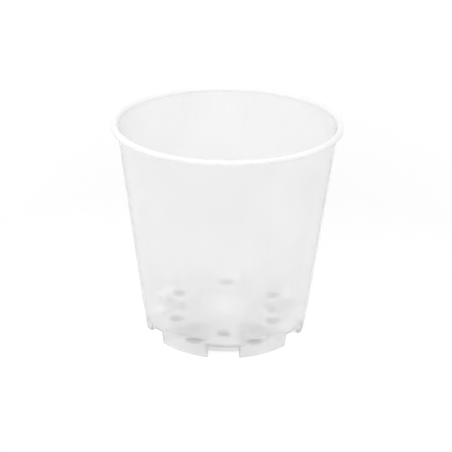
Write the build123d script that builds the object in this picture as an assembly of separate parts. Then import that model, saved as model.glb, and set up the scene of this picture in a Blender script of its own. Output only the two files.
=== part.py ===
from build123d import *
import math
import os

# A one-piece moulded orchid pot: a thin tapered wall with a rolled lip, standing on six hollow feet.
# Six raised drain channels run from a raised hub in the floor to slots between the feet.
# The moulding is written zone by zone, and neighbouring zones meet face to face.
# Lengths are millimetres, Z is up, and the origin is the centre of the circle that the feet stand on.

# The pot as a whole
rim_radius = 60.0
overall_height = 116.5
wall = 0.8

# Rolled lip: half an ellipse over the top of the wall, hanging free outside it
lip_overhang = 3.2
lip_depth = 4.5
lip_drop = 2.1
lip_edge_skirt = 0.3

# Side wall: a cone that widens upwards from this radius on the ground
base_radius = 43.8

# Band round the bottom of the wall, set back under a small ledge above the channel roofs
ledge_rise = 3.2
band_setback = 0.3

# Feet, with a heel that is the only part to touch the ground
foot_count = 6
foot_rounding = 1.7
pocket_rounding = 0.9
heel_width = 4.2
floor_thickness = 0.9
floor_clearance = 1.2
foot_hole_radius = 4.4
foot_hole_shift = 1.7

# Drain channels, a little wider at the slot than at the hub
channel_roof_height = 8.6
channel_roof_thickness = 0.8
channel_slot_width = 16.8
channel_hub_width = 14.0
channel_hole_radius = 3.9
channel_hole_shift = 1.4
slot_depth = 7.6
curtain_clearance = 0.8

# Hub in the middle of the floor
hub_foot_radius = 17.0
hub_flange_width = 4.0
hub_taper = 1.6
hub_rise = 1.8
hub_skirt_clearance = 2.7
gate_mark_radius = 1.6
gate_mark_height = 0.3

# How far a cutting shape runs past what it cuts
overrun = 2.0

full_turn = 360.0
quarter_turn = full_turn / 4
foot_step = full_turn / foot_count

# Places that follow from the sizes above; the holes lie a little outside the middle of their floors
wall_top_radius = rim_radius - lip_overhang
wall_top_height = overall_height - lip_depth
wall_slope = (wall_top_radius - base_radius) / wall_top_height
lip_edge_height = overall_height - lip_drop
roof_underside = channel_roof_height - channel_roof_thickness
floor_top = floor_clearance + floor_thickness
band_height = channel_roof_height + ledge_rise
heel_inner_radius = base_radius - heel_width
curtain_radius = base_radius - slot_depth
hub_plate_radius = hub_foot_radius + hub_flange_width
hub_crown_radius = hub_foot_radius - hub_taper
hub_crown_height = channel_roof_height + hub_rise
foot_hole_circle = (hub_plate_radius + heel_inner_radius) / 2 + foot_hole_shift
channel_hole_circle = (hub_plate_radius + curtain_radius) / 2 + channel_hole_shift


def wall_radius(height):
    """Outer radius of the plain cone at a height."""
    return base_radius + wall_slope * height


def band_radius(height):
    """Outer radius of the set-back band at a height."""
    return wall_radius(height) - band_setback


def section(*edges):
    """Face in the XZ plane inside edges given as radius and height."""
    return Plane.XZ * make_face(list(edges))


def polygon(points):
    """Face in the XZ plane inside straight lines through points given as radius and height."""
    return section(Polyline(*points, close=True))


def ring(face):
    """A section turned all the way round the axis."""
    return revolve(face, axis=Axis.Z, revolution_arc=full_turn)


def sector(face):
    """A section turned through one foot's share of the circle, centred on the front, -Y."""
    turned = revolve(face, axis=Axis.Z, revolution_arc=foot_step)
    return Rot(0, 0, -quarter_turn - foot_step / 2) * turned


def around(shape, angle):
    """A shape that lies in front of the axis, swung round it to an angle."""
    return Rot(0, 0, angle) * shape


def post(radius, low, high, distance=0.0):
    """Upright cylinder in front of the axis, from one height to another."""
    solid = Cylinder(radius, high - low, align=(Align.CENTER, Align.CENTER, Align.MIN))
    return Pos(0, -distance, low) * solid


def channel_prism(extra, low, high):
    """Upright prism on a channel's plan, wider by extra on each side, from the axis out past the wall."""
    flare = (channel_slot_width - channel_hub_width) / (base_radius - hub_plate_radius)
    far = wall_top_radius + overrun
    near_half = (channel_hub_width - flare * hub_plate_radius) / 2 + extra
    far_half = near_half + flare * far / 2
    plan = Polyline((-near_half, 0), (-far_half, -far), (far_half, -far), (near_half, 0), close=True)
    return Pos(0, 0, low) * extrude(make_face(plan), high - low)


def both_sides(shape):
    """The same shape on the two channels beside a foot."""
    return around(shape, -foot_step / 2) + around(shape, foot_step / 2)


def rolled_rim():
    """Lip that rises from the wall's top, turns over its crown and hangs down outside."""
    inner = wall_radius(lip_edge_height) - wall
    centre = (rim_radius + inner) / 2
    half = (rim_radius - inner) / 2
    edge_bottom = lip_edge_height - lip_edge_skirt
    over = EllipticalCenterArc((centre, lip_edge_height), half, lip_drop, start_angle=0, arc_size=full_turn / 2)
    under = EllipticalCenterArc(
        (centre, lip_edge_height), half - wall, lip_drop - wall, start_angle=0, arc_size=full_turn / 2
    )
    edge = Polyline(
        (rim_radius, lip_edge_height),
        (rim_radius, edge_bottom),
        (rim_radius - wall, edge_bottom),
        (rim_radius - wall, lip_edge_height),
    )
    stem = Polyline(
        (inner + wall, lip_edge_height),
        (wall_top_radius, wall_top_height),
        (wall_top_radius - wall, wall_top_height),
        (inner, lip_edge_height),
    )
    return ring(section(over, under, edge, stem))


def side_wall():
    """Conical wall from the channel roofs up to the lip, with the small ledge over the band."""
    ledge_height = band_height + band_setback
    outer = [
        (band_radius(channel_roof_height), channel_roof_height),
        (band_radius(band_height), band_height),
        (wall_radius(ledge_height), ledge_height),
        (wall_top_radius, wall_top_height),
    ]
    inner = [(radius - wall, height) for radius, height in reversed(outer)]
    return ring(polygon(outer + inner))


def foot_blank(bottom, top):
    """Solid foot between two heights, without its hollow, between its two channels."""
    blank = sector(
        polygon([(0, bottom), (band_radius(bottom), bottom), (band_radius(top), top), (0, top)])
    )
    blank = blank - both_sides(channel_prism(0, bottom - overrun, top + overrun))
    return blank - post(hub_plate_radius, bottom - overrun, top + overrun)


def rounded_edges(blank):
    """Edges of a foot blank that its mould rounds: the outer corners and the heel between them."""
    outside = [edge for edge in blank.edges() if math.hypot(edge.center().X, edge.center().Y) > curtain_radius]
    upright = [edge for edge in outside if edge.bounding_box().size.Z > roof_underside / 2]
    heel = [edge for edge in outside if edge.bounding_box().max.Z < foot_rounding]
    return upright + heel


def foot():
    """Hollow foot: outer wall, two side walls, an inner end wall and a floor with a drain hole."""
    blank = foot_blank(0, roof_underside)
    rounded = fillet(rounded_edges(blank), radius=foot_rounding)
    rounded = rounded - post(heel_inner_radius, -overrun, floor_clearance)
    top_slice = foot_blank(roof_underside, channel_roof_height)
    pocket_top = channel_roof_height + overrun
    hollow = sector(
        polygon(
            [
                (0, floor_top),
                (band_radius(floor_top) - wall, floor_top),
                (band_radius(pocket_top) - wall, pocket_top),
                (0, pocket_top),
            ]
        )
    )
    hollow = hollow - both_sides(channel_prism(wall, -overrun, pocket_top + overrun))
    hollow = hollow - post(hub_plate_radius + wall, -overrun, pocket_top + overrun)
    corners = [edge for edge in hollow.edges() if edge.bounding_box().size.Z > channel_roof_height / 2]
    hollow = fillet(corners, radius=pocket_rounding)
    hole = post(foot_hole_radius, -overrun, floor_top + overrun, foot_hole_circle)
    return rounded + top_slice - hollow - hole


def drain_channel():
    """Roof of a drain channel with its hole, and the curtain that closes the slot's back."""
    roof = sector(
        polygon(
            [
                (hub_plate_radius, roof_underside),
                (band_radius(roof_underside), roof_underside),
                (band_radius(channel_roof_height), channel_roof_height),
                (hub_plate_radius, channel_roof_height),
            ]
        )
    )
    curtain = sector(
        polygon(
            [
                (curtain_radius - wall, curtain_clearance),
                (curtain_radius, curtain_clearance),
                (curtain_radius, roof_underside),
                (curtain_radius - wall, roof_underside),
            ]
        )
    )
    channel = (roof + curtain) & channel_prism(0, 0, channel_roof_height)
    return channel - post(channel_hole_radius, roof_underside - overrun, overall_height, channel_hole_circle)


def floor_hub():
    """Raised middle of the floor, with the skirt under it and the round gate mark on top."""
    inner_radius = hub_foot_radius - wall
    crown_underside = hub_crown_height - wall
    hub = ring(
        polygon(
            [
                (0, crown_underside),
                (0, hub_crown_height),
                (hub_crown_radius, hub_crown_height),
                (hub_foot_radius, channel_roof_height),
                (hub_plate_radius, channel_roof_height),
                (hub_plate_radius, roof_underside),
                (hub_foot_radius, roof_underside),
                (hub_foot_radius, hub_skirt_clearance),
                (inner_radius, hub_skirt_clearance),
                (inner_radius, roof_underside),
                (hub_crown_radius - wall, crown_underside),
            ]
        )
    )
    return hub + post(gate_mark_radius, crown_underside, hub_crown_height + gate_mark_height)


parts = {
    "rolled_rim": rolled_rim(),
    "side_wall": side_wall(),
    "floor_hub": floor_hub(),
}
one_foot = foot()
one_channel = drain_channel()
for number in range(foot_count):
    parts[f"drain_channel_{number + 1}"] = around(one_channel, number * foot_step)
    parts[f"foot_{number + 1}"] = around(one_foot, (number + 1 / 2) * foot_step)

os.makedirs("parts", exist_ok=True)
for name, solid in parts.items():
    export_step(solid, f"parts/{name}.step")
    print(name, round(solid.volume), "mm3")
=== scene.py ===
# %% [markdown]
# A clear orchid pot
# This file dresses one moulded plant pot. The real pot is a single thin piece of milky clear plastic:
# a cone with a rolled lip, standing on six hollow feet, with six drain channels and slots between them.
# Everything is in metres. The pot's axis is Z, its feet stand on Z = 0 and its front is towards -Y.

import math

import bpy
from mathutils import Matrix, Vector


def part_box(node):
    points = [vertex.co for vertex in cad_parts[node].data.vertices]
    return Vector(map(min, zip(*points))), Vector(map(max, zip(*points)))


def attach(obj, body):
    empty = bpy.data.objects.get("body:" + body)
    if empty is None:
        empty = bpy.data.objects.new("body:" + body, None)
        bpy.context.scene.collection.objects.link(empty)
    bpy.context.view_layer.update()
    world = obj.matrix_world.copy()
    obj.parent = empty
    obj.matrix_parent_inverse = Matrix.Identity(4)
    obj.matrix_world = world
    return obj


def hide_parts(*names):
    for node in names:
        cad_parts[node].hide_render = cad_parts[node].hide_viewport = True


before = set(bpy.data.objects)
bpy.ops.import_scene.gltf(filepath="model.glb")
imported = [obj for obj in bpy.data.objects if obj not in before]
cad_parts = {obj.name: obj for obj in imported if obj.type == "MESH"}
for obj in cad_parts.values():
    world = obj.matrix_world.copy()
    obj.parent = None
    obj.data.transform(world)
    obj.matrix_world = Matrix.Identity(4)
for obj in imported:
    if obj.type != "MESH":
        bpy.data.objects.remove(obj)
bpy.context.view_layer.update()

# %% [markdown]
# Sizes
# The frame says how wide and high the lip, the wall and the hub are. What a box can't tell, such as the
# thickness of the wall, is a named size here, the same as in the measured part.

# %% Read the sizes that everything follows
MM = 0.001
lip_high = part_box("rolled_rim")[1]
wall_low, wall_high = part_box("side_wall")
hub_low, hub_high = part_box("floor_hub")
curtain_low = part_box("drain_channel_1")[0]

RIM_RADIUS = lip_high.x
RIM_HEIGHT = lip_high.z
WALL_TOP_RADIUS = wall_high.x
WALL_TOP_HEIGHT = wall_high.z
ROOF_TOP = wall_low.z
HUB_FLANGE_RADIUS = hub_high.x
SKIRT_CLEARANCE = hub_low.z
CURTAIN_CLEARANCE = curtain_low.z

WALL = 0.8 * MM
BASE_RADIUS = 43.8 * MM
BAND_SETBACK = 0.3 * MM
LEDGE_HEIGHT = 11.8 * MM
LIP_DROP = 2.1 * MM
LIP_EDGE_SKIRT = 0.3 * MM
ROOF_UNDERSIDE = ROOF_TOP - WALL

FOOT_COUNT = 6
FOOT_ROUNDING = 1.7 * MM
POCKET_ROUNDING = 0.9 * MM
HEEL_INNER_RADIUS = 39.6 * MM
FLOOR_THICKNESS = 0.9 * MM
FLOOR_CLEARANCE = 1.2 * MM
FOOT_HOLE_RADIUS = 4.4 * MM
FOOT_HOLE_CIRCLE = 32.0 * MM

CHANNEL_SLOT_WIDTH = 16.8 * MM
CHANNEL_HUB_WIDTH = 14.0 * MM
CHANNEL_HOLE_RADIUS = 3.9 * MM
CHANNEL_HOLE_CIRCLE = 30.0 * MM
CURTAIN_RADIUS = 36.2 * MM

SKIRT_RADIUS = 17.0 * MM
CROWN_RADIUS = 15.4 * MM
GATE_MARK_RADIUS = 1.6 * MM
GATE_MARK_HEIGHT = 0.3 * MM
CROWN_HEIGHT = hub_high.z - GATE_MARK_HEIGHT

FACETS = 180
TURN = math.tau
STEP = TURN / FOOT_COUNT
SLOPE = (WALL_TOP_RADIUS - BASE_RADIUS) / WALL_TOP_HEIGHT
print("lip", RIM_RADIUS, "high", RIM_HEIGHT, "wall slope", SLOPE)


def wall_radius(height):
    """Outer radius of the cone."""
    return BASE_RADIUS + SLOPE * height


def band_radius(height):
    """Outer radius of the set-back band under the ledge."""
    return wall_radius(height) - BAND_SETBACK


# %% [markdown]
# A lathe
# Most of a round pot is one outline turned about its axis. A lathed shape starts as a tiny plane that is
# merged to one vertex, extruded from point to point along the outline, and then spun. Corners of the
# outline are rounded before the spin, because a bevel on a wire is always clean.

# %% Select and name
SAME_PLACE = 0.01 * MM
WELD_DISTANCE = 0.005 * MM


def deselect_all():
    bpy.ops.object.select_all(action="DESELECT")


def start_piece(name):
    """The active object, which a primitive just made, gets its name."""
    piece = bpy.context.active_object
    piece.name = name
    piece.data.name = name
    return piece


def select_vertices(piece, chosen):
    """Selects the vertices of a piece in edit mode for which chosen(co) is true."""
    bpy.ops.mesh.select_all(action="DESELECT")
    bpy.ops.object.mode_set(mode="OBJECT")
    for vertex in piece.data.vertices:
        vertex.select = chosen(vertex.co)
    bpy.ops.object.mode_set(mode="EDIT")


# %% Draw an outline and spin it
def draw_outline(name, points):
    """A wire in the XZ plane through points given as radius and height."""
    deselect_all()
    bpy.ops.mesh.primitive_plane_add(size=MM, location=(0, 0, 0))
    wire = start_piece(name)
    bpy.ops.object.mode_set(mode="EDIT")
    bpy.ops.mesh.merge(type="CENTER")
    bpy.ops.transform.translate(value=(points[0][0], 0, points[0][1]))
    for (r0, z0), (r1, z1) in zip(points, points[1:]):
        bpy.ops.mesh.extrude_region_move(TRANSFORM_OT_translate={"value": (r1 - r0, 0, z1 - z0)})
    return wire


def round_corners(wire, corners, radius, segments):
    """Rounds the corners of a wire that lie at the points given."""
    places = [Vector((r, 0, z)) for r, z in corners]
    bpy.ops.mesh.select_mode(type="VERT")
    select_vertices(wire, lambda co: any((co - place).length < SAME_PLACE for place in places))
    bpy.ops.mesh.bevel(affect="VERTICES", offset=radius, segments=segments)


def spin_outline(wire):
    """Turns the wire all the way round Z, closes the seam and the poles, and points the faces outwards."""
    bpy.ops.mesh.select_all(action="SELECT")
    bpy.ops.mesh.spin(steps=FACETS, angle=TURN, center=(0, 0, 0), axis=(0, 0, 1))
    bpy.ops.mesh.select_all(action="SELECT")
    bpy.ops.mesh.remove_doubles(threshold=WELD_DISTANCE)
    bpy.ops.mesh.normals_make_consistent(inside=False)
    bpy.ops.object.mode_set(mode="OBJECT")
    return wire


# %% Count open edges
def open_edges(piece):
    """How many edges of a mesh don't join exactly two faces."""
    uses = {}
    for polygon in piece.data.polygons:
        for key in polygon.edge_keys:
            uses[key] = uses.get(key, 0) + 1
    return sum(1 for count in uses.values() if count != 2)


# %% [markdown]
# The turned body
# Everything that is the same all the way round is one outline: the hub with its gate mark, the floor over
# the channels, the wall with its ledge, the lip that rolls over and hangs free outside, and the skirt
# under the hub. The lip is half an ellipse, so its points come from a formula.

# %% Turn the body
LIP_STEPS = 14
EDGE_SOFTNESS = 0.11 * MM
EDGE_STEPS = 3
FLOOR_FILLET = 0.7 * MM
FLOOR_FILLET_STEPS = 4


def half_ellipse(centre, height, across, up, backwards):
    """Points over the top of the lip, from its inner side out, or back."""
    angles = [math.pi * (1 - step / LIP_STEPS) for step in range(LIP_STEPS + 1)]
    points = [(centre + across * math.cos(a), height + up * math.sin(a)) for a in angles]
    return points[::-1] if backwards else points


def body_outline():
    """The outline, and the corners to round softly and widely."""
    lip_edge = RIM_HEIGHT - LIP_DROP
    lip_inner = wall_radius(lip_edge) - WALL
    centre = (RIM_RADIUS + lip_inner) / 2
    across = (RIM_RADIUS - lip_inner) / 2
    ledge_top = LEDGE_HEIGHT + BAND_SETBACK
    floor_corner = (band_radius(ROOF_TOP) - WALL, ROOF_TOP)
    gate_top = CROWN_HEIGHT + GATE_MARK_HEIGHT
    hub_top = [
        (0, gate_top),
        (GATE_MARK_RADIUS, gate_top),
        (GATE_MARK_RADIUS, CROWN_HEIGHT),
        (CROWN_RADIUS, CROWN_HEIGHT),
        (SKIRT_RADIUS, ROOF_TOP),
        floor_corner,
    ]
    inner_wall = [
        (band_radius(LEDGE_HEIGHT) - WALL, LEDGE_HEIGHT),
        (wall_radius(ledge_top) - WALL, ledge_top),
    ]
    over = half_ellipse(centre, lip_edge, across, LIP_DROP, backwards=False)
    hanging_edge = [
        (RIM_RADIUS, lip_edge - LIP_EDGE_SKIRT),
        (RIM_RADIUS - WALL, lip_edge - LIP_EDGE_SKIRT),
    ]
    under = half_ellipse(centre, lip_edge, across - WALL, LIP_DROP - WALL, backwards=True)
    outer_wall = [
        (wall_radius(ledge_top), ledge_top),
        (band_radius(LEDGE_HEIGHT), LEDGE_HEIGHT),
        (band_radius(ROOF_UNDERSIDE), ROOF_UNDERSIDE),
    ]
    underside = [
        (SKIRT_RADIUS, ROOF_UNDERSIDE),
        (SKIRT_RADIUS, SKIRT_CLEARANCE),
        (SKIRT_RADIUS - WALL, SKIRT_CLEARANCE),
        (SKIRT_RADIUS - WALL, ROOF_UNDERSIDE),
        (CROWN_RADIUS - WALL, CROWN_HEIGHT - WALL),
        (0, CROWN_HEIGHT - WALL),
    ]
    soft = hub_top[1:5] + inner_wall + hanging_edge + outer_wall[:2] + underside[:5]
    outline = hub_top + inner_wall + over + hanging_edge + under + outer_wall + underside
    return outline, soft, [floor_corner]


outline, soft_corners, wide_corners = body_outline()
body = draw_outline("pot", outline)
round_corners(body, soft_corners, EDGE_SOFTNESS, EDGE_STEPS)
round_corners(body, wide_corners, FLOOR_FILLET, FLOOR_FILLET_STEPS)
spin_outline(body)
print("turned body", len(body.data.polygons), "faces", open_edges(body), "open edges")

# %% [markdown]
# The feet
# A foot is a wedge of a thick ring. The ring is turned, two cuts along the sides of its channels leave
# the wedge, and its outer corners and heel are bevelled. The hollow inside it is a second wedge,
# smaller by the wall all round, that is taken away from the body later. Each wedge is made
# once and spun round the axis in six copies.

# %% Cut along the sides of a channel
KEEP_CLEAR = 0.02 * MM
CUT_PAST = 1.0 * MM
CUT_TOLERANCE = 0.001 * MM
CORNER_STEPS = 6
flare = (CHANNEL_SLOT_WIDTH - CHANNEL_HUB_WIDTH) / (BASE_RADIUS - HUB_FLANGE_RADIUS) / 2
channel_half_at_axis = CHANNEL_HUB_WIDTH / 2 - flare * HUB_FLANGE_RADIUS


def turned(vector, angle):
    """A vector turned about Z."""
    return Matrix.Rotation(angle, 3, "Z") @ Vector(vector)


def channel_side(side, angle, margin):
    """A point on a channel's side plane and its normal, which points away from the channel."""
    along = Vector((side * flare, -1, 0)).normalized()
    normal = Vector((side, flare, 0)).normalized()
    point = Vector((side * channel_half_at_axis, 0, 0)) + normal * margin
    return turned(point, angle), turned(normal, angle)


def cut_away(plane, keep_normal_side):
    """Cuts the selected mesh along a plane, fills the cut and drops one side."""
    point, normal = plane
    bpy.ops.mesh.select_all(action="SELECT")
    bpy.ops.mesh.bisect(
        plane_co=point,
        plane_no=normal,
        use_fill=True,
        clear_inner=keep_normal_side,
        clear_outer=not keep_normal_side,
        threshold=CUT_TOLERANCE,
    )


# %% Make a wedge and copy it round the axis
def foot_wedge(name, points, margin):
    """A ring turned from an outline and cut down to the space between two channels, round the front."""
    wedge = draw_outline(name, points + points[:1])
    spin_outline(wedge)
    bpy.ops.object.mode_set(mode="EDIT")
    cut_away(((0, 0, 0), (0, -1, 0)), True)
    cut_away(channel_side(1, -STEP / 2, margin), True)
    cut_away(channel_side(-1, STEP / 2, margin), True)
    return wedge


def select_edges(piece, chosen):
    """Selects the edges of a piece in edit mode for which chosen(start, end) is true."""
    bpy.ops.mesh.select_mode(type="EDGE")
    bpy.ops.mesh.select_all(action="DESELECT")
    bpy.ops.object.mode_set(mode="OBJECT")
    vertices = piece.data.vertices
    for edge in piece.data.edges:
        edge.select = chosen(vertices[edge.vertices[0]].co, vertices[edge.vertices[1]].co)
    bpy.ops.object.mode_set(mode="EDIT")


def six_copies(piece, first_angle):
    """Turns a piece to its first place and spins five more copies of it round the axis."""
    bpy.ops.mesh.select_mode(type="VERT")
    bpy.ops.mesh.select_all(action="SELECT")
    bpy.ops.transform.rotate(value=first_angle, orient_axis="Z", center_override=(0, 0, 0))
    bpy.ops.mesh.spin(
        steps=FOOT_COUNT - 1, angle=TURN - STEP, dupli=True, center=(0, 0, 0), axis=(0, 0, 1)
    )
    bpy.ops.object.mode_set(mode="OBJECT")
    print(piece.name, len(piece.data.polygons), "faces", open_edges(piece), "open edges")


# %% [markdown]
# Corners that a bevel can round
# A turned wedge is cut by flat planes, and its round side has a narrow facet beside each cut. A bevel
# would run into it, so the facets nearest to the cut are merged first. The edges to round are then
# found by where they lie: upright and on the cut, or along the foot of the heel.

# %% Find the corners
FLAT_ANGLE = math.radians(0.1)


def from_side(place, margin):
    """How far a place is from the nearer of the two cuts along a wedge's sides."""
    sides = [channel_side(1, -STEP / 2, margin), channel_side(-1, STEP / 2, margin)]
    return min(abs((place - point).dot(normal)) for point, normal in sides)


def upright(start, end):
    """True for an edge that climbs from the bottom of a wedge to its top."""
    return abs(start.z - end.z) > WALL


def on_heel(start, end):
    """True for the edges along the outer foot of a wedge."""
    on_ground = max(start.z, end.z) < SAME_PLACE
    return on_ground and min(start.xy.length, end.xy.length) > HEEL_INNER_RADIUS + WALL


def on_foot_corner(start, end):
    """True for the two upright edges at the outer corners of a foot."""
    on_cut = from_side(start, 0) < KEEP_CLEAR
    return upright(start, end) and on_cut and start.xy.length > HEEL_INNER_RADIUS + WALL


def clear_beside_corners(wedge, margin, reach):
    """Merges the narrow facets beside a wedge's corners, so that a bevel there has room."""
    bpy.ops.mesh.select_mode(type="EDGE")
    bpy.ops.mesh.select_all(action="SELECT")
    bpy.ops.mesh.dissolve_limited(angle_limit=FLAT_ANGLE, use_dissolve_boundaries=False)
    select_edges(
        wedge,
        lambda start, end: upright(start, end) and KEEP_CLEAR < from_side(start, margin) < reach,
    )
    bpy.ops.mesh.dissolve_edges(use_verts=True)


# %% Make the six feet
FOOT_TOP = ROOF_UNDERSIDE + WALL / 2
feet = foot_wedge(
    "feet",
    [
        (HUB_FLANGE_RADIUS, FLOOR_CLEARANCE),
        (HEEL_INNER_RADIUS, FLOOR_CLEARANCE),
        (HEEL_INNER_RADIUS, 0),
        (band_radius(0) - KEEP_CLEAR, 0),
        (band_radius(FOOT_TOP) - KEEP_CLEAR, FOOT_TOP),
        (HUB_FLANGE_RADIUS, FOOT_TOP),
    ],
    0,
)
clear_beside_corners(feet, 0, 2 * FOOT_ROUNDING)
select_edges(feet, lambda start, end: on_heel(start, end) or on_foot_corner(start, end))
bpy.ops.mesh.bevel(offset=FOOT_ROUNDING, segments=CORNER_STEPS, affect="EDGES")
six_copies(feet, STEP / 2)

# %% Make the hollows of the feet
POCKET_TOP = ROOF_TOP + CUT_PAST
POCKET_FLOOR = FLOOR_CLEARANCE + FLOOR_THICKNESS
pockets = foot_wedge(
    "foot_pockets",
    [
        (HUB_FLANGE_RADIUS + WALL, POCKET_FLOOR),
        (band_radius(POCKET_FLOOR) - WALL - KEEP_CLEAR, POCKET_FLOOR),
        (band_radius(POCKET_TOP) - WALL - KEEP_CLEAR, POCKET_TOP),
        (HUB_FLANGE_RADIUS + WALL, POCKET_TOP),
    ],
    WALL,
)
clear_beside_corners(pockets, WALL, 2 * POCKET_ROUNDING)
select_edges(pockets, lambda start, end: upright(start, end) and from_side(start, WALL) < KEEP_CLEAR)
bpy.ops.mesh.bevel(offset=POCKET_ROUNDING, segments=CORNER_STEPS, affect="EDGES")
six_copies(pockets, STEP / 2)

# %% [markdown]
# The slot curtains
# Between two feet the floor arches up into a drain channel. A thin curtain hangs from its roof a little
# way in, so that bark and moss can't fall out of the slot while water still runs under it. It is a slice
# of a turned ring, a touch wider than the channel so that its ends sink into the foot walls, and its free
# edge is rounded on the wire before the ring is spun.

# %% Make the curtains
CURTAIN_TUCK = 0.1 * MM
curtains = draw_outline(
    "slot_curtains",
    [
        (CURTAIN_RADIUS - WALL, FOOT_TOP),
        (CURTAIN_RADIUS - WALL, CURTAIN_CLEARANCE),
        (CURTAIN_RADIUS, CURTAIN_CLEARANCE),
        (CURTAIN_RADIUS, FOOT_TOP),
        (CURTAIN_RADIUS - WALL, FOOT_TOP),
    ],
)
curtain_edge = [(CURTAIN_RADIUS - WALL, CURTAIN_CLEARANCE), (CURTAIN_RADIUS, CURTAIN_CLEARANCE)]
round_corners(curtains, curtain_edge, EDGE_SOFTNESS, EDGE_STEPS)
spin_outline(curtains)
bpy.ops.object.mode_set(mode="EDIT")
cut_away(((0, 0, 0), (0, -1, 0)), True)
cut_away(channel_side(1, 0, CURTAIN_TUCK), False)
cut_away(channel_side(-1, 0, CURTAIN_TUCK), False)
six_copies(curtains, 0)

# %% [markdown]
# The tools for the drain holes
# Each foot floor and each channel roof has one round hole. A hole is a cylinder taken away from the
# plastic. One cylinder is placed at the front and spun to six places, so that all the
# holes of a ring are carved in a single step.

# %% Make the posts that cut the holes
HOLE_FACETS = 48


def drain_holes(name, radius, circle, floor_top, first_angle):
    """Six upright posts that cut holes through a floor."""
    deselect_all()
    bpy.ops.mesh.primitive_cylinder_add(
        vertices=HOLE_FACETS,
        radius=radius,
        depth=2 * (WALL + CUT_PAST),
        location=(0, -circle, floor_top - WALL / 2),
    )
    posts = start_piece(name)
    bpy.ops.object.transform_apply(location=True, rotation=True, scale=True)
    bpy.ops.object.mode_set(mode="EDIT")
    six_copies(posts, first_angle)
    return posts


foot_holes = drain_holes("foot_holes", FOOT_HOLE_RADIUS, FOOT_HOLE_CIRCLE, POCKET_FLOOR, STEP / 2)
channel_holes = drain_holes("channel_holes", CHANNEL_HOLE_RADIUS, CHANNEL_HOLE_CIRCLE, ROOF_TOP, 0)

# %% [markdown]
# Join and carve
# The real pot is one piece of plastic, so the finished mesh is one closed skin too. The exact boolean
# solver joins the feet and the curtains to the turned body and then takes the pockets and the holes
# away. After each step the open edges are counted: a closed mesh has none.

# %% Join the feet and carve the hollows
def combine(piece, tool, operation):
    """Joins a tool to a piece or carves it away, then removes the tool."""
    deselect_all()
    bpy.context.view_layer.objects.active = piece
    modifier = piece.modifiers.new(operation.lower(), "BOOLEAN")
    modifier.object = tool
    modifier.operation = operation
    modifier.solver = "EXACT"
    bpy.ops.object.modifier_apply(modifier=modifier.name)
    bpy.data.objects.remove(tool)
    print(operation, len(piece.data.polygons), "faces", open_edges(piece), "open edges")


combine(body, feet, "UNION")
combine(body, curtains, "UNION")
combine(body, pockets, "DIFFERENCE")
combine(body, foot_holes, "DIFFERENCE")
combine(body, channel_holes, "DIFFERENCE")

# %% [markdown]
# Clean and smooth
# Where two shapes met almost face to face, the solver leaves slivers thinner than a hair. They are merged,
# and faces that meet at a shallow angle are shaded as one curve, while the real corners of the moulding
# stay crisp. The pot's rounded corners were made on the wires and the wedges before.

# %% Merge slivers and smooth the curves
SMOOTH_ANGLE = math.radians(30)
deselect_all()
bpy.context.view_layer.objects.active = body
body.select_set(True)
bpy.ops.object.mode_set(mode="EDIT")
bpy.ops.mesh.select_all(action="SELECT")
bpy.ops.mesh.remove_doubles(threshold=2 * KEEP_CLEAR)
bpy.ops.object.mode_set(mode="OBJECT")
bpy.ops.object.shade_smooth_by_angle(angle=SMOOTH_ANGLE)
print("finished body", len(body.data.polygons), "faces", open_edges(body), "open edges")

# %% [markdown]
# Small helpers for node trees
# A shader is a chain of small sums. These helpers place one node each and return its output, so that a
# line of code reads like the sum that it stands for.

# %% Place nodes
WHITE = (1, 1, 1, 1)


def plug(tree, value, socket):
    """Links an output to a socket, or sets a plain number or colour on it."""
    if isinstance(value, bpy.types.NodeSocket):
        tree.links.new(value, socket)
    else:
        socket.default_value = value


def sum_of(tree, operation, first, second=0.0):
    """A Math node on two values."""
    node = tree.nodes.new("ShaderNodeMath")
    node.operation = operation
    plug(tree, first, node.inputs[0])
    plug(tree, second, node.inputs[1])
    return node.outputs[0]


def ramp(tree, value, ends, results):
    """A Map Range node: as the value runs from one end to the other, so does the result."""
    node = tree.nodes.new("ShaderNodeMapRange")
    plug(tree, value, node.inputs["Value"])
    plug(tree, ends[0], node.inputs["From Min"])
    plug(tree, ends[1], node.inputs["From Max"])
    plug(tree, results[0], node.inputs["To Min"])
    plug(tree, results[1], node.inputs["To Max"])
    return node.outputs["Result"]


def radius_and_height(tree, place):
    """Distance from the axis, height, and the direction outwards, of a place."""
    split = tree.nodes.new("ShaderNodeSeparateXYZ")
    plug(tree, place, split.inputs[0])
    flat = tree.nodes.new("ShaderNodeCombineXYZ")
    plug(tree, split.outputs["X"], flat.inputs["X"])
    plug(tree, split.outputs["Y"], flat.inputs["Y"])
    length = tree.nodes.new("ShaderNodeVectorMath")
    length.operation = "LENGTH"
    plug(tree, flat.outputs[0], length.inputs[0])
    outwards = tree.nodes.new("ShaderNodeVectorMath")
    outwards.operation = "NORMALIZE"
    plug(tree, flat.outputs[0], outwards.inputs[0])
    return length.outputs["Value"], split.outputs["Z"], outwards.outputs["Vector"]


def noise(tree, place, scale, detail):
    """Soft random values from 0 to 1 at a place."""
    node = tree.nodes.new("ShaderNodeTexNoise")
    plug(tree, place, node.inputs["Vector"])
    plug(tree, scale, node.inputs["Scale"])
    plug(tree, detail, node.inputs["Detail"])
    return node.outputs["Fac"]
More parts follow.
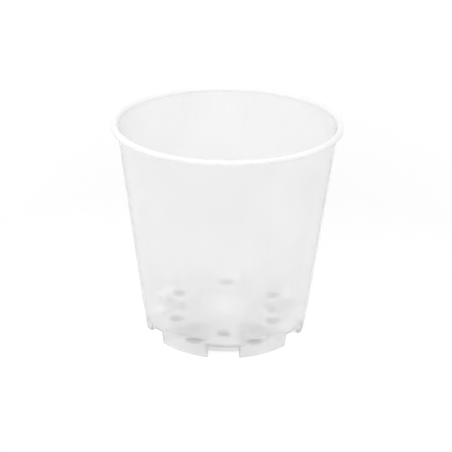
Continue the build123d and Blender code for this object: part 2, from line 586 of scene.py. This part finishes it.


# %% [markdown]
# The marks of the mould
# Plastic that is shot into a mould cools in soft cloudy patches, and faint lines run away from the gate
# in the middle of the floor, outwards and then up the wall. Where pots are stacked and stand, on the lip's
# edge and the heels, the gloss is rubbed dull. The top of the lip is whiter, partly for its thicker plastic
# and partly as a painted highlight, and the colour is darker towards the base as painted shade. All of this
# is one node group. The lines come from noise on the direction outwards, which has no seam on its way round
# the pot.

# %% Build the group for moulding marks
PATCHES_PER_METRE = 30.0
FLOW_LINES = 24.0
FLOW_STRETCH = 0.9
GRAIN_PER_METRE = 900.0
RUB_PER_METRE = 420.0
HAZE_COLOURS = (0.93, 0.97)
FLOW_TINT = 0.012
LIP_WHITENESS_AND_HIGHLIGHT = 0.02
BASE_PAINTED_SHADE = 0.035
BASE_PAINTED_SHADE_REACH = (10.0 * MM, 50.0 * MM)
LIP_MILK_FROM = RIM_HEIGHT - 3.5 * MM
LIP_MILK_TO = RIM_HEIGHT - 1.5 * MM
RUBBED_COLOUR = 0.9
GATE_BLUSH = 0.07
GATE_BLUSH_REACH = (2.0 * MM, 15.0 * MM)
RUBBED_ROUGHNESS = 0.45
ROUGHNESS_SPREAD = 0.06
PATCH_DETAIL = 2.0
FLOW_DETAIL = 3.0
GRAIN_DETAIL = 2.0
RUB_DETAIL = 4.0
PATCH_ENDS = (0.35, 0.65)
FLOW_ENDS = (0.3, 0.7)
GRAIN_ENDS = (0.3, 0.7)
RUB_ENDS = (0.48, 0.62)


def moulding_marks():
    """A node group that gives the colour, roughness and height of the surface at a place."""
    group = bpy.data.node_groups.new("moulding_marks", "ShaderNodeTree")
    group.interface.new_socket("Place", in_out="INPUT", socket_type="NodeSocketVector")
    group.interface.new_socket("Gloss Roughness", in_out="INPUT", socket_type="NodeSocketFloat")
    group.interface.new_socket("Colour", in_out="OUTPUT", socket_type="NodeSocketColor")
    group.interface.new_socket("Roughness", in_out="OUTPUT", socket_type="NodeSocketFloat")
    group.interface.new_socket("Height", in_out="OUTPUT", socket_type="NodeSocketFloat")
    start = group.nodes.new("NodeGroupInput")
    end = group.nodes.new("NodeGroupOutput")
    place = start.outputs["Place"]
    radius, height, outwards = radius_and_height(group, place)

    path = group.nodes.new("ShaderNodeCombineXYZ")
    plug(group, sum_of(group, "MULTIPLY", height, FLOW_STRETCH), path.inputs["Z"])
    along = group.nodes.new("ShaderNodeVectorMath")
    along.operation = "ADD"
    plug(group, outwards, along.inputs[0])
    plug(group, path.outputs[0], along.inputs[1])

    patches = noise(group, place, PATCHES_PER_METRE, PATCH_DETAIL)
    flow = noise(group, along.outputs[0], FLOW_LINES, FLOW_DETAIL)
    grain = noise(group, place, GRAIN_PER_METRE, GRAIN_DETAIL)

    heel = ramp(group, height, (0.0, WALL), (1.0, 0.0))
    lip = ramp(group, radius, (RIM_RADIUS - WALL / 2, RIM_RADIUS), (0.0, 1.0))
    scratches = noise(group, place, RUB_PER_METRE, RUB_DETAIL)
    scuffs = ramp(group, scratches, RUB_ENDS, (0.0, 1.0))
    rubbed = sum_of(group, "MULTIPLY", sum_of(group, "MAXIMUM", heel, lip), scuffs)

    haze = ramp(group, patches, PATCH_ENDS, HAZE_COLOURS)
    lines = ramp(group, flow, FLOW_ENDS, (-FLOW_TINT / 2, FLOW_TINT / 2))
    blush = ramp(group, radius, GATE_BLUSH_REACH, (GATE_BLUSH, 0.0))
    # partly the thicker lip's whiter plastic, partly a painted highlight where the lip catches the light
    thick_lip_and_highlight = ramp(group, height, (LIP_MILK_FROM, LIP_MILK_TO), (0.0, LIP_WHITENESS_AND_HIGHLIGHT))
    # painted shade: the colour grows darker towards the base
    painted_base_shade = ramp(group, height, BASE_PAINTED_SHADE_REACH, (-BASE_PAINTED_SHADE, 0.0))
    plain = sum_of(group, "ADD", haze, lines)
    for share in (blush, thick_lip_and_highlight, painted_base_shade):
        plain = sum_of(group, "ADD", plain, share)
    tint = ramp(group, rubbed, (0.0, 1.0), (plain, RUBBED_COLOUR))
    grain_dullness = ramp(group, grain, GRAIN_ENDS, (0.0, ROUGHNESS_SPREAD))
    gloss = sum_of(group, "ADD", start.outputs["Gloss Roughness"], grain_dullness)
    dull = ramp(group, rubbed, (0.0, 1.0), (gloss, RUBBED_ROUGHNESS))
    bumps = sum_of(group, "ADD", flow, sum_of(group, "MULTIPLY", rubbed, grain))
    plug(group, tint, end.inputs["Colour"])
    plug(group, dull, end.inputs["Roughness"])
    plug(group, bumps, end.inputs["Height"])
    return group


marks = moulding_marks()
print("moulding marks", len(marks.nodes), "nodes")

# %% [markdown]
# The milky clear plastic
# Natural polypropylene is neither glass nor paint: some of what lies behind it shows through, and the rest
# of the light scatters in it as in thin milk. So the front of each face is a mix of a clear shader and a
# milky one. The lip is thicker and rounder, and the base has several layers behind each other, so they
# are milkier, and the gate and the slot curtains are the milkiest. The back of a face, seen from inside
# the plastic, is nearly clear. Lamps shine through the thin wall, which a clear shader alone would stop,
# so shadow rays meet plain see-through. The floors of the feet let less light by, so the ground under
# them stays dim.

# %% Make the plastic
MILK_WALL = 0.42
MILK_LIP = 1.0
MILK_BASE = 0.66
MILK_GATE = 1.0
MILK_CURTAIN = 0.95
MILK_BACK_WALL = 0.08
MILK_BACK_BASE = 0.25
PLASTIC_ROUGHNESS = 0.08
PLASTIC_BEND = 1.3
LAMP_PASS = 0.95
LAMP_PASS_GROUND = 0.3
BUMP_DEPTH = 0.02 * MM
BASE_MILK_FROM = 10.5 * MM
BASE_MILK_TO = 12.0 * MM
BACK_MILK_FROM = 8.0 * MM
BACK_MILK_TO = 10.0 * MM
INNER_MILK_FROM = 40.5 * MM
INNER_MILK_TO = 42.0 * MM
GROUND_SHADE_FROM = 2.5 * MM
GROUND_SHADE_TO = 4.0 * MM
FLOOR_SHADE_FROM = 33.5 * MM
FLOOR_SHADE_TO = 35.0 * MM


def blend(tree, share, below, above):
    """A Mix Shader node: the share is how much of the second shader shows."""
    node = tree.nodes.new("ShaderNodeMixShader")
    plug(tree, share, node.inputs[0])
    plug(tree, below, node.inputs[1])
    plug(tree, above, node.inputs[2])
    return node.outputs[0]


def plastic_shader(tree, clear, marked):
    """A Principled shader for the clear or the milky share, with the mould's marks on it."""
    shader = tree.nodes.new("ShaderNodeBsdfPrincipled")
    shader.inputs["IOR"].default_value = PLASTIC_BEND
    shader.inputs["Transmission Weight"].default_value = 1.0 if clear else 0.0
    plug(tree, marked.outputs["Colour"], shader.inputs["Base Color"])
    plug(tree, marked.outputs["Roughness"], shader.inputs["Roughness"])
    bump = tree.nodes.new("ShaderNodeBump")
    bump.inputs["Distance"].default_value = BUMP_DEPTH
    plug(tree, marked.outputs["Height"], bump.inputs["Height"])
    plug(tree, bump.outputs["Normal"], shader.inputs["Normal"])
    return shader


def milky_clear_plastic():
    """The pot's material."""
    material = bpy.data.materials.new("milky_clear_plastic")
    material.use_nodes = True
    tree = material.node_tree
    tree.nodes.remove(tree.nodes["Principled BSDF"])
    coords = tree.nodes.new("ShaderNodeTexCoord")
    place = coords.outputs["Object"]
    marked = tree.nodes.new("ShaderNodeGroup")
    marked.node_tree = marks
    plug(tree, place, marked.inputs["Place"])
    plug(tree, PLASTIC_ROUGHNESS, marked.inputs["Gloss Roughness"])
    radius, height = radius_and_height(tree, place)[:2]

    lip_share = ramp(tree, height, (LIP_MILK_FROM, LIP_MILK_TO), (MILK_WALL, MILK_LIP))
    inner = ramp(tree, radius, (INNER_MILK_FROM, INNER_MILK_TO), (1.0, 0.0))
    low = ramp(tree, height, (BASE_MILK_FROM, BASE_MILK_TO), (1.0, 0.0))
    floor_share = ramp(tree, radius, GATE_BLUSH_REACH, (MILK_GATE, MILK_BASE))
    at_curtain = ramp(tree, radius, (CURTAIN_RADIUS - 2 * WALL, CURTAIN_RADIUS - WALL), (0.0, MILK_CURTAIN))
    under_roof = ramp(tree, height, (ROOF_UNDERSIDE, ROOF_TOP), (1.0, 0.0))
    curtain_share = sum_of(tree, "MULTIPLY", at_curtain, under_roof)
    base_share = sum_of(tree, "MAXIMUM", sum_of(tree, "MULTIPLY", floor_share, low), curtain_share)
    base_share = sum_of(tree, "MULTIPLY", base_share, inner)
    share = sum_of(tree, "MAXIMUM", lip_share, base_share)
    clear = plastic_shader(tree, True, marked)
    milky = plastic_shader(tree, False, marked)
    front = blend(tree, share, clear.outputs[0], milky.outputs[0])

    inner_clear = tree.nodes.new("ShaderNodeBsdfPrincipled")
    inner_clear.inputs["Base Color"].default_value = WHITE
    inner_clear.inputs["Roughness"].default_value = PLASTIC_ROUGHNESS
    inner_clear.inputs["IOR"].default_value = PLASTIC_BEND
    inner_clear.inputs["Transmission Weight"].default_value = 1.0
    inner_milk = tree.nodes.new("ShaderNodeBsdfPrincipled")
    inner_milk.inputs["Specular IOR Level"].default_value = 0.0
    plug(tree, marked.outputs["Colour"], inner_milk.inputs["Base Color"])
    back_share = ramp(tree, height, (BACK_MILK_FROM, BACK_MILK_TO), (MILK_BACK_BASE, MILK_BACK_WALL))
    back = blend(tree, back_share, inner_clear.outputs[0], inner_milk.outputs[0])
    geometry = tree.nodes.new("ShaderNodeNewGeometry")
    both = blend(tree, geometry.outputs["Backfacing"], front, back)

    path = tree.nodes.new("ShaderNodeLightPath")
    through = tree.nodes.new("ShaderNodeBsdfTransparent")
    near_ground = ramp(tree, height, (GROUND_SHADE_FROM, GROUND_SHADE_TO), (1.0, 0.0))
    within = ramp(tree, radius, (FLOOR_SHADE_FROM, FLOOR_SHADE_TO), (1.0, 0.0))
    foot_floor = sum_of(tree, "MULTIPLY", within, near_ground)
    passed = ramp(tree, foot_floor, (0.0, 1.0), (LAMP_PASS, LAMP_PASS_GROUND))
    plug(tree, passed, through.inputs["Color"])
    lit = blend(tree, path.outputs["Is Shadow Ray"], both, through.outputs[0])
    plug(tree, lit, tree.nodes["Material Output"].inputs["Surface"])
    return material


body.data.materials.clear()
body.data.materials.append(milky_clear_plastic())
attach(body, "root")
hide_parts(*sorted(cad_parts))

# %% [markdown]
# A white stage
# The pot stands in an even white room, as in a catalogue picture. For what looks straight or through the
# plastic at the room it is plain white; light that falls on the pot is a little weaker, so that milky
# plastic stands out as a pale grey. Under the feet a shadow is painted into the ground: its colour is
# darker there and it has no glow, and that makes the holes in the feet read as dark spots. Under the hub
# the painted shadow is paler, a painted light that the front channel's hole looks down to. Far from the pot
# the ground glows, so that the background stays white. Its back is see-through, so that the underside of
# the pot can be looked at from below.

# %% Make the ground and the room
FLOOR_SIZE = 8.0
FLOOR_GAP = 0.05 * MM
PAINTED_SHADOW_RADIUS = 31.5 * MM
OPEN_RADIUS = 35.5 * MM
GROUND_PAINTED_SHADOW = 0.42
GROUND_OPEN = 0.85
GROUND_HUB_PAINTED_LIGHT = 0.75
HUB_PAINTED_LIGHT_REACH = (15.0 * MM, 24.0 * MM)
GROUND_GLOW = 0.2
FAR_REACH = (0.2, 1.6)
FAR_GLOW = 0.6
ROOM_LIGHT = 0.495
FIRST_BOUNCE = 0.5


def seen_ray(tree):
    """1 for a ray that looks at a thing directly, by reflection or through the plastic, else 0."""
    path = tree.nodes.new("ShaderNodeLightPath")
    looks = sum_of(tree, "MAXIMUM", path.outputs["Is Camera Ray"], path.outputs["Is Glossy Ray"])
    looks = sum_of(tree, "MAXIMUM", looks, path.outputs["Is Transmission Ray"])
    first = sum_of(tree, "LESS_THAN", path.outputs["Diffuse Depth"], FIRST_BOUNCE)
    return sum_of(tree, "MULTIPLY", looks, first)


def ground_material():
    """White ground with the pot's shadow painted into its colour, that glows a little for what looks at it.
    """
    material = bpy.data.materials.new("ground_white")
    material.use_nodes = True
    tree = material.node_tree
    shader = tree.nodes["Principled BSDF"]
    shader.inputs["Roughness"].default_value = 1.0
    shader.inputs["Specular IOR Level"].default_value = 0.0
    shader.inputs["Emission Color"].default_value = WHITE
    coords = tree.nodes.new("ShaderNodeTexCoord")
    radius = radius_and_height(tree, coords.outputs["Object"])[0]
    reach = (PAINTED_SHADOW_RADIUS, OPEN_RADIUS)
    # painted shadow: the ground's colour is darker under the feet
    painted_shadow_under_feet = ramp(tree, radius, reach, (GROUND_PAINTED_SHADOW, GROUND_OPEN))
    # painted light: a paler patch in the painted shadow under the hub
    painted_light_under_hub = ramp(tree, radius, HUB_PAINTED_LIGHT_REACH, (GROUND_HUB_PAINTED_LIGHT, 0.0))
    plug(tree, sum_of(tree, "MAXIMUM", painted_shadow_under_feet, painted_light_under_hub), shader.inputs["Base Color"])
    # no glow under the pot, as part of the painted shadow
    near_glow_outside_painted_shadow = ramp(tree, radius, reach, (0.0, GROUND_GLOW))
    far_glow = ramp(tree, radius, FAR_REACH, (0.0, FAR_GLOW))
    glow = sum_of(tree, "ADD", near_glow_outside_painted_shadow, far_glow)
    plug(tree, sum_of(tree, "MULTIPLY", seen_ray(tree), glow), shader.inputs["Emission Strength"])
    geometry = tree.nodes.new("ShaderNodeNewGeometry")
    nothing = tree.nodes.new("ShaderNodeBsdfTransparent")
    seen = blend(tree, geometry.outputs["Backfacing"], shader.outputs[0], nothing.outputs[0])
    plug(tree, seen, tree.nodes["Material Output"].inputs["Surface"])
    return material


deselect_all()
bpy.ops.mesh.primitive_plane_add(size=FLOOR_SIZE, location=(0, 0, 0))
ground = start_piece("ground")
bpy.ops.object.mode_set(mode="EDIT")
bpy.ops.transform.translate(value=(0, 0, -FLOOR_GAP))
bpy.ops.object.mode_set(mode="OBJECT")
ground.data.materials.append(ground_material())

room = bpy.data.worlds.new("white_room")
bpy.context.scene.world = room
room.use_nodes = True
background = room.node_tree.nodes["Background"]
background.inputs["Color"].default_value = WHITE
level = ramp(room.node_tree, seen_ray(room.node_tree), (0.0, 1.0), (ROOM_LIGHT, 1.0))
plug(room.node_tree, level, background.inputs["Strength"])

# %% [markdown]
# Lamps
# Four large soft lamps, as in a small studio: the strongest overhead, for the top of the lip and the floor
# of the pot, a key on the left, a weaker one on the right, and the weakest in front, which fills the
# near wall and the front of the lip. Soft lamps are used because glossy plastic mirrors a hard one.

# %% Hang the lamps
def softbox(name, place, size, power):
    """A square lamp that faces the pot."""
    bpy.ops.object.light_add(type="AREA", location=place)
    lamp = bpy.context.active_object
    lamp.name = name
    lamp.data.size = size
    lamp.data.energy = power
    towards_pot = Vector((0, 0, RIM_HEIGHT / 2)) - Vector(place)
    lamp.rotation_euler = towards_pot.to_track_quat("-Z", "Y").to_euler()
    return lamp


LARGE_LAMP = 1.0
SMALL_LAMP = 0.8
TOP_PLACE = (0.0, -0.2, 1.2)
KEY_PLACE = (-1.0, -0.3, 0.7)
FILL_PLACE = (1.0, -0.3, 0.7)
FRONT_PLACE = (-0.2, -1.2, 0.45)
TOP_POWER = 4.6
KEY_POWER = 3.2
FILL_POWER = 2.6
FRONT_POWER = 2.1
softbox("top_softbox", TOP_PLACE, LARGE_LAMP, TOP_POWER)
softbox("key_softbox", KEY_PLACE, SMALL_LAMP, KEY_POWER)
softbox("fill_softbox", FILL_PLACE, SMALL_LAMP, FILL_POWER)
softbox("front_softbox", FRONT_PLACE, LARGE_LAMP, FRONT_POWER)
print("lamps", TOP_POWER, KEY_POWER, FILL_POWER, FRONT_POWER)

# %% [markdown]
# The camera
# The picture looks down at the pot at a little more than a quarter of a right angle, with a long lens. The
# values were found by matching the ellipse of the lip and the ends of the base. The camera is aimed by a
# point near the axis, a side angle, a rise and a small roll, and moved back along its own line of sight.

# %% Place the camera
CAMERA_DISTANCE = 0.65
CAMERA_RISE = math.radians(23.93)
CAMERA_SIDE = math.radians(1.2)
CAMERA_ROLL = math.radians(0.63)
CAMERA_LENS = 96.67
AIM = Vector((-0.0002, 0, 0.05687))

turn_to_view = (
    Matrix.Rotation(CAMERA_SIDE, 4, "Z")
    @ Matrix.Rotation(math.pi / 2 - CAMERA_RISE, 4, "X")
    @ Matrix.Rotation(CAMERA_ROLL, 4, "Z")
)
bpy.ops.object.camera_add()
camera = bpy.context.active_object
camera.data.lens = CAMERA_LENS
camera.matrix_world = Matrix.Translation(AIM) @ turn_to_view @ Matrix.Translation((0, 0, CAMERA_DISTANCE))
bpy.context.scene.camera = camera
bpy.context.scene.view_settings.view_transform = "Standard"
